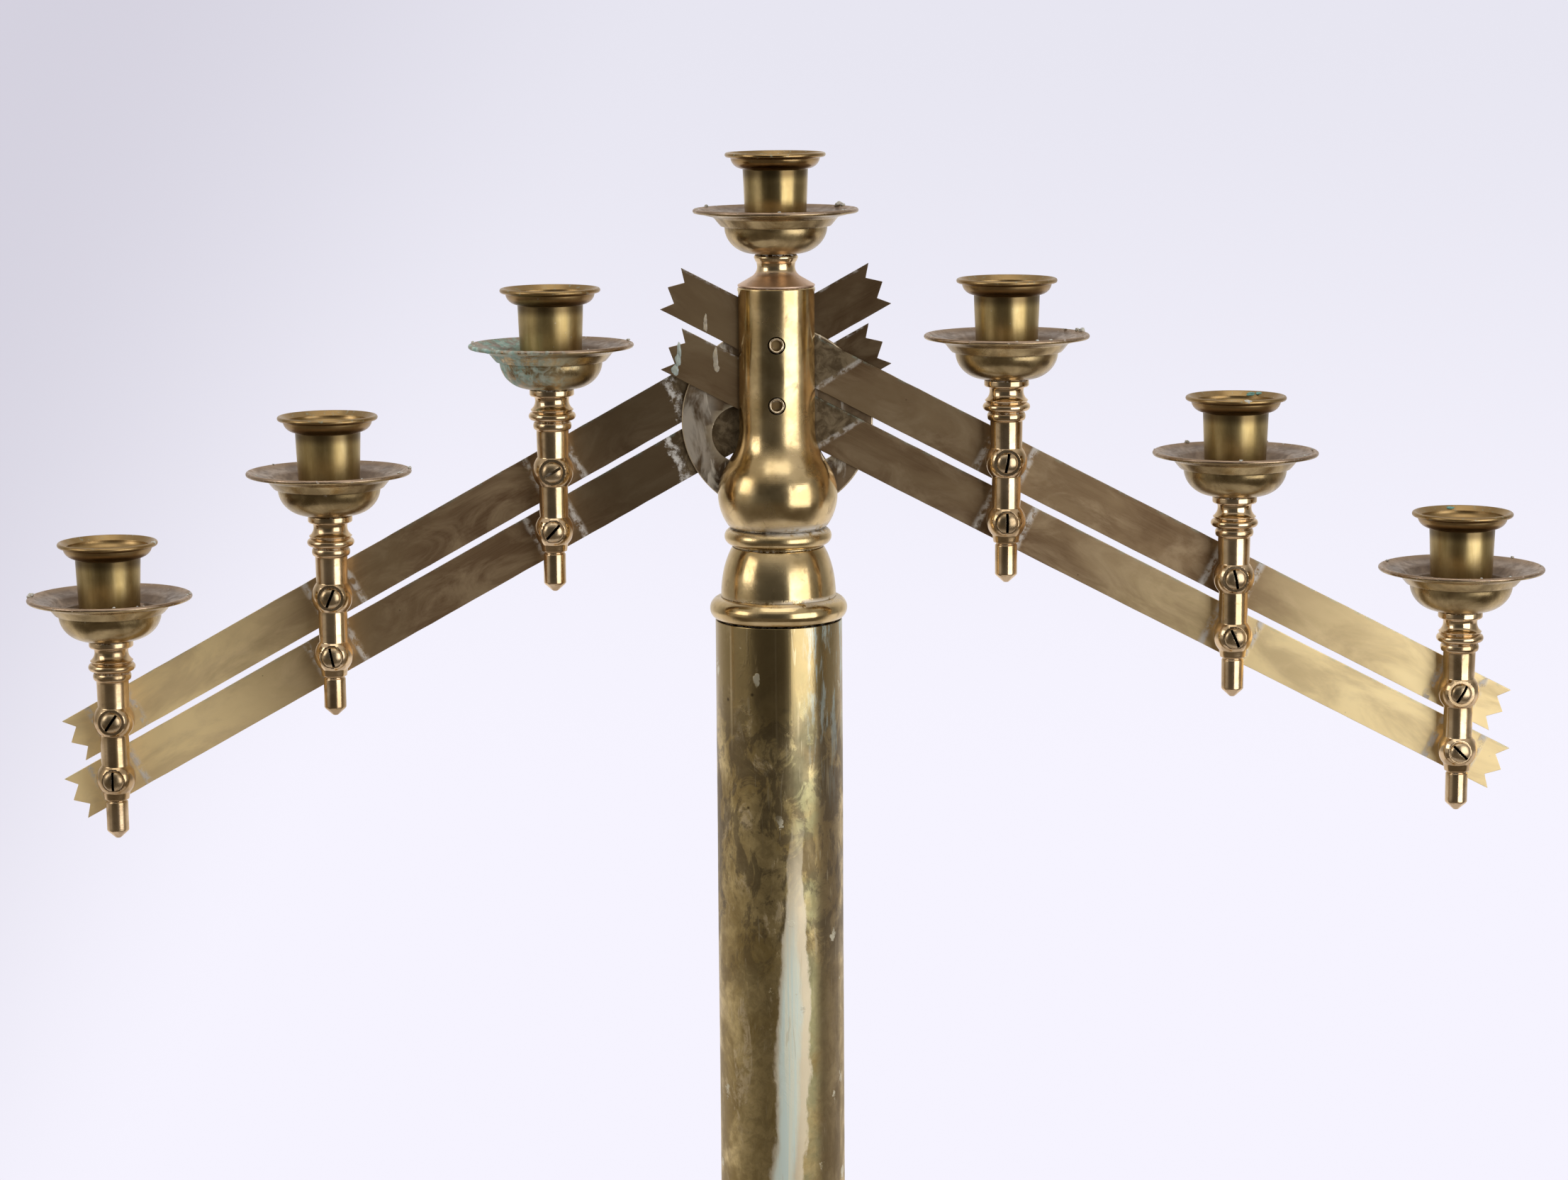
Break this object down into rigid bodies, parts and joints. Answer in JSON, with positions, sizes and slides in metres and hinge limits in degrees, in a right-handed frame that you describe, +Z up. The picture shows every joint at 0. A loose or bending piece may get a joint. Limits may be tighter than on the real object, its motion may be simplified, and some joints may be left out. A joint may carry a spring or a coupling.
{
  "type": "floor candelabrum",
  "caption": "Brass floor candelabrum with a tube column, weighted round base, slotted head and folding parallelogram arms that keep the candle cups upright.",
  "frame": {"origin": "centre of the underside of the base, on the floor", "axes": "+Z up the column, +X to the right arm seen from the front, +Y to the back; the posts and screw heads face -Y"},
  "size_m": [0.6042, 0.305, 1.524],
  "materials": {
    "polished_brass": "polished, with a little pale polish left in the corners",
    "satin_brass": "satin, aged to an olive gold",
    "bronzed_brass": "tarnished brown, with wax crumbs and a little verdigris",
    "bar_brass": "brushed along its length, with cloudy tarnish",
    "column_brass": "mottled tarnish over worn polish",
    "steel": "plain turned",
    "cast_iron": "rough cast",
    "felt": "dense felt"
  },
  "bodies": {
    "stand": {"base_pad": "felt", "base_weight": "cast_iron", "base_shell": "column_brass", "base_collar": "polished_brass", "column_tube": "column_brass", "tie_rod": "steel", "tie_rod_nut": "steel", "tie_rod_washer": "steel", "column_collar": "column_brass", "column_dome": "polished_brass", "neck_ring": "polished_brass", "pivot_head": "polished_brass", "head_cap": "polished_brass", "spacer_plate": "bar_brass", "upper_pivot_pin": "polished_brass", "lower_pivot_pin": "polished_brass", "centre_pan": "bronzed_brass", "centre_cup": "satin_brass", "centre_cup_screw": "steel"},
    "left_upper_arm": {"left_upper_bar": "bar_brass"},
    "left_lower_arm": {"left_lower_bar": "bar_brass"},
    "left_inner_light": {"left_inner_post": "polished_brass", "left_inner_pan": "bronzed_brass", "left_inner_cup": "satin_brass", "left_inner_cup_screw": "steel", "left_inner_pivot_screws": "polished_brass", "left_inner_pivot_nuts": "polished_brass"},
    "left_middle_light": {"left_middle_post": "polished_brass", "left_middle_pan": "bronzed_brass", "left_middle_cup": "satin_brass", "left_middle_cup_screw": "steel", "left_middle_pivot_screws": "polished_brass", "left_middle_pivot_nuts": "polished_brass"},
    "left_outer_light": {"left_outer_post": "polished_brass", "left_outer_pan": "bronzed_brass", "left_outer_cup": "satin_brass", "left_outer_cup_screw": "steel", "left_outer_pivot_screws": "polished_brass", "left_outer_pivot_nuts": "polished_brass"},
    "right_upper_arm": {"right_upper_bar": "bar_brass"},
    "right_lower_arm": {"right_lower_bar": "bar_brass"},
    "right_inner_light": {"right_inner_post": "polished_brass", "right_inner_pan": "bronzed_brass", "right_inner_cup": "satin_brass", "right_inner_cup_screw": "steel", "right_inner_pivot_screws": "polished_brass", "right_inner_pivot_nuts": "polished_brass"},
    "right_middle_light": {"right_middle_post": "polished_brass", "right_middle_pan": "bronzed_brass", "right_middle_cup": "satin_brass", "right_middle_cup_screw": "steel", "right_middle_pivot_screws": "polished_brass", "right_middle_pivot_nuts": "polished_brass"},
    "right_outer_light": {"right_outer_post": "polished_brass", "right_outer_pan": "bronzed_brass", "right_outer_cup": "satin_brass", "right_outer_cup_screw": "steel", "right_outer_pivot_screws": "polished_brass", "right_outer_pivot_nuts": "polished_brass"}
  },
  "joints": [
    {"name": "left_arm_raise", "type": "hinge", "parent": "stand", "child": "left_upper_arm", "pos_m": [0, 0.0019, 1.4492], "axis": [0, 1, 0], "range_deg": [-2.3, 60.7]},
    {"name": "left_lower_bar_follow", "type": "hinge", "parent": "stand", "child": "left_lower_arm", "pos_m": [0, 0.0019, 1.4254], "axis": [0, 1, 0], "range_deg": [-2.3, 60.7]},
    {"name": "left_inner_light_level", "type": "hinge", "parent": "left_upper_arm", "child": "left_inner_light", "pos_m": [-0.08904, 0.0019, 1.39944], "axis": [0, 1, 0], "range_deg": [-60.7, 2.3]},
    {"name": "left_middle_light_level", "type": "hinge", "parent": "left_upper_arm", "child": "left_middle_light", "pos_m": [-0.17808, 0.0019, 1.34968], "axis": [0, 1, 0], "range_deg": [-60.7, 2.3]},
    {"name": "left_outer_light_level", "type": "hinge", "parent": "left_upper_arm", "child": "left_outer_light", "pos_m": [-0.26711, 0.0019, 1.29991], "axis": [0, 1, 0], "range_deg": [-60.7, 2.3]},
    {"name": "right_arm_raise", "type": "hinge", "parent": "stand", "child": "right_upper_arm", "pos_m": [0, -0.0019, 1.4492], "axis": [0, -1, 0], "range_deg": [-4.1, 58.9]},
    {"name": "right_lower_bar_follow", "type": "hinge", "parent": "stand", "child": "right_lower_arm", "pos_m": [0, -0.0019, 1.4254], "axis": [0, -1, 0], "range_deg": [-4.1, 58.9]},
    {"name": "right_inner_light_level", "type": "hinge", "parent": "right_upper_arm", "child": "right_inner_light", "pos_m": [0.09056, -0.0019, 1.40226], "axis": [0, -1, 0], "range_deg": [-58.9, 4.1]},
    {"name": "right_middle_light_level", "type": "hinge", "parent": "right_upper_arm", "child": "right_middle_light", "pos_m": [0.18111, -0.0019, 1.35532], "axis": [0, -1, 0], "range_deg": [-58.9, 4.1]},
    {"name": "right_outer_light_level", "type": "hinge", "parent": "right_upper_arm", "child": "right_outer_light", "pos_m": [0.27167, -0.0019, 1.30838], "axis": [0, -1, 0], "range_deg": [-58.9, 4.1]}
  ],
  "couplings": [
    {"joint": "left_lower_bar_follow", "follows": "left_arm_raise", "ratio": 1},
    {"joint": "left_inner_light_level", "follows": "left_arm_raise", "ratio": -1},
    {"joint": "left_middle_light_level", "follows": "left_arm_raise", "ratio": -1},
    {"joint": "left_outer_light_level", "follows": "left_arm_raise", "ratio": -1},
    {"joint": "right_lower_bar_follow", "follows": "right_arm_raise", "ratio": 1},
    {"joint": "right_inner_light_level", "follows": "right_arm_raise", "ratio": -1},
    {"joint": "right_middle_light_level", "follows": "right_arm_raise", "ratio": -1},
    {"joint": "right_outer_light_level", "follows": "right_arm_raise", "ratio": -1}
  ]
}
